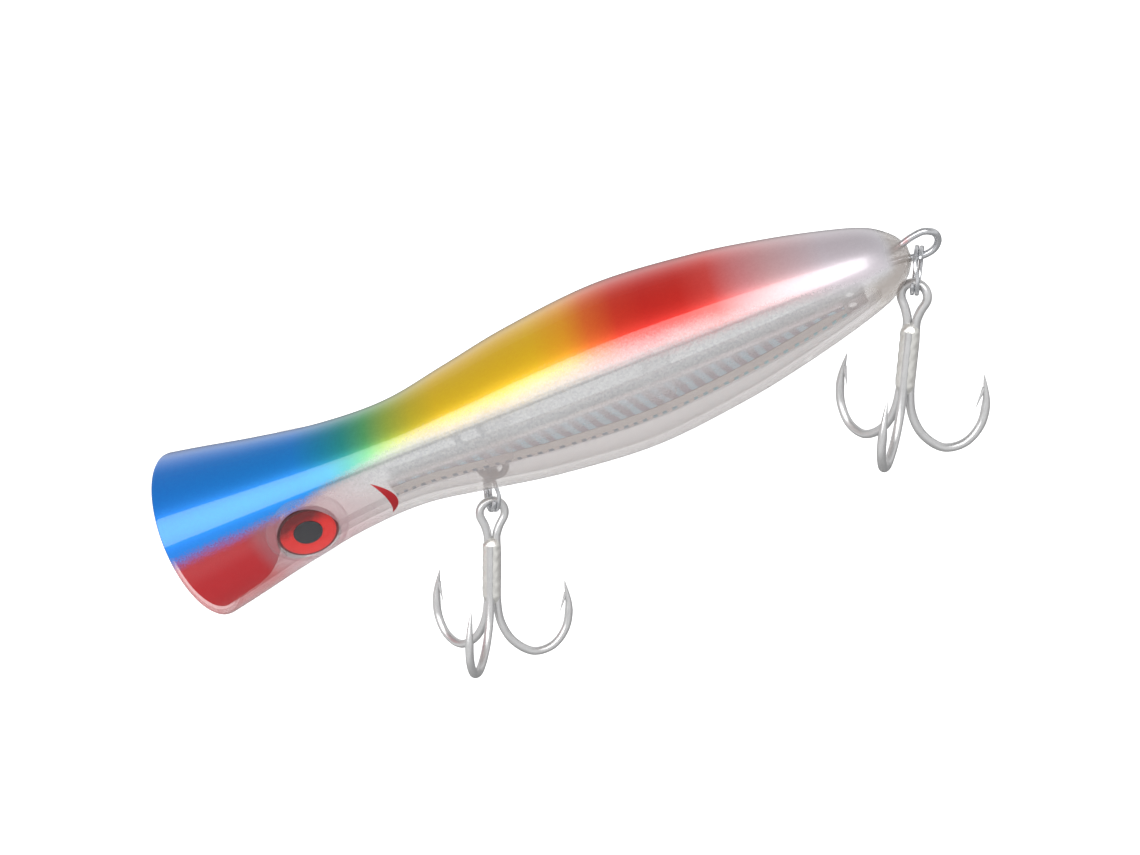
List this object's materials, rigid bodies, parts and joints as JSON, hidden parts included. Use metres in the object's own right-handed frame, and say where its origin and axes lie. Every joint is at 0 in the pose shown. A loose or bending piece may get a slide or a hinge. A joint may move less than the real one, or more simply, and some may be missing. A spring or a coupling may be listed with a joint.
{
  "type": "topwater popper fishing lure",
  "caption": "Hollow clear popper lure with a cupped mouth, moulded eyes, an inner scale insert, a through-wire and treble hooks on split rings.",
  "frame": {"origin": "centre of the line-tie loop, which stands in the plane of the mouth rim", "axes": "+X from the mouth to the tail along the body axis, +Z towards the back, -Y towards the lure's left side"},
  "size_m": [0.1703, 0.0511, 0.0724],
  "materials": {
    "clear_shell": "glossy transparent plastic, painted along the back",
    "cup_red": "gloss red",
    "wire_steel": "drawn stainless wire",
    "insert_plastic": "translucent moulded plastic",
    "foil": "holographic scale film",
    "iris_red": "printed red film",
    "pupil_black": "printed black",
    "eye_resin": "clear domed resin",
    "ring_steel": "polished stainless, flattened wire",
    "hook_steel": "tinned high carbon steel",
    "braze": "bright braze metal"
  },
  "bodies": {
    "body": {"shell_left": "clear_shell", "shell_right": "clear_shell", "mouth_cup": "cup_red", "through_wire": "wire_steel", "insert_plate_left": "insert_plastic", "insert_plate_right": "insert_plastic", "scale_foil_left": "foil", "scale_foil_right": "foil", "eye_iris_left": "iris_red", "eye_iris_right": "iris_red", "eye_pupil_left": "pupil_black", "eye_pupil_right": "pupil_black", "eye_dome_left": "eye_resin", "eye_dome_right": "eye_resin"},
    "ring_front": {"split_ring_front": "ring_steel"},
    "treble_front": {"hook_pair_front": "hook_steel", "hook_third_front": "hook_steel", "hook_braze_front": "braze"},
    "ring_rear": {"split_ring_rear": "ring_steel"},
    "treble_rear": {"hook_pair_rear": "hook_steel", "hook_third_rear": "hook_steel", "hook_braze_rear": "braze"}
  },
  "joints": [
    {"name": "front_ring_swing", "type": "hinge", "parent": "body", "child": "ring_front", "pos_m": [0.0621, 0, -0.01587], "axis": [0.8771, 0, -0.4802], "range_deg": [-1, 48]},
    {"name": "front_treble_swing", "type": "hinge", "parent": "ring_front", "child": "treble_front", "pos_m": [0.05914, -0.00366, -0.02128], "axis": [-0.3736, 0.8502, -0.371], "range_deg": [-75, 18]},
    {"name": "rear_ring_swing", "type": "hinge", "parent": "body", "child": "ring_rear", "pos_m": [0.1612, 0, -0.0022], "axis": [0.8755, 0, -0.4833], "range_deg": [-55, 42]},
    {"name": "rear_treble_swing", "type": "hinge", "parent": "ring_rear", "child": "treble_rear", "pos_m": [0.15802, -0.00286, -0.00796], "axis": [0.1183, 0.8618, -0.4933], "range_deg": [-80, 5]}
  ]
}
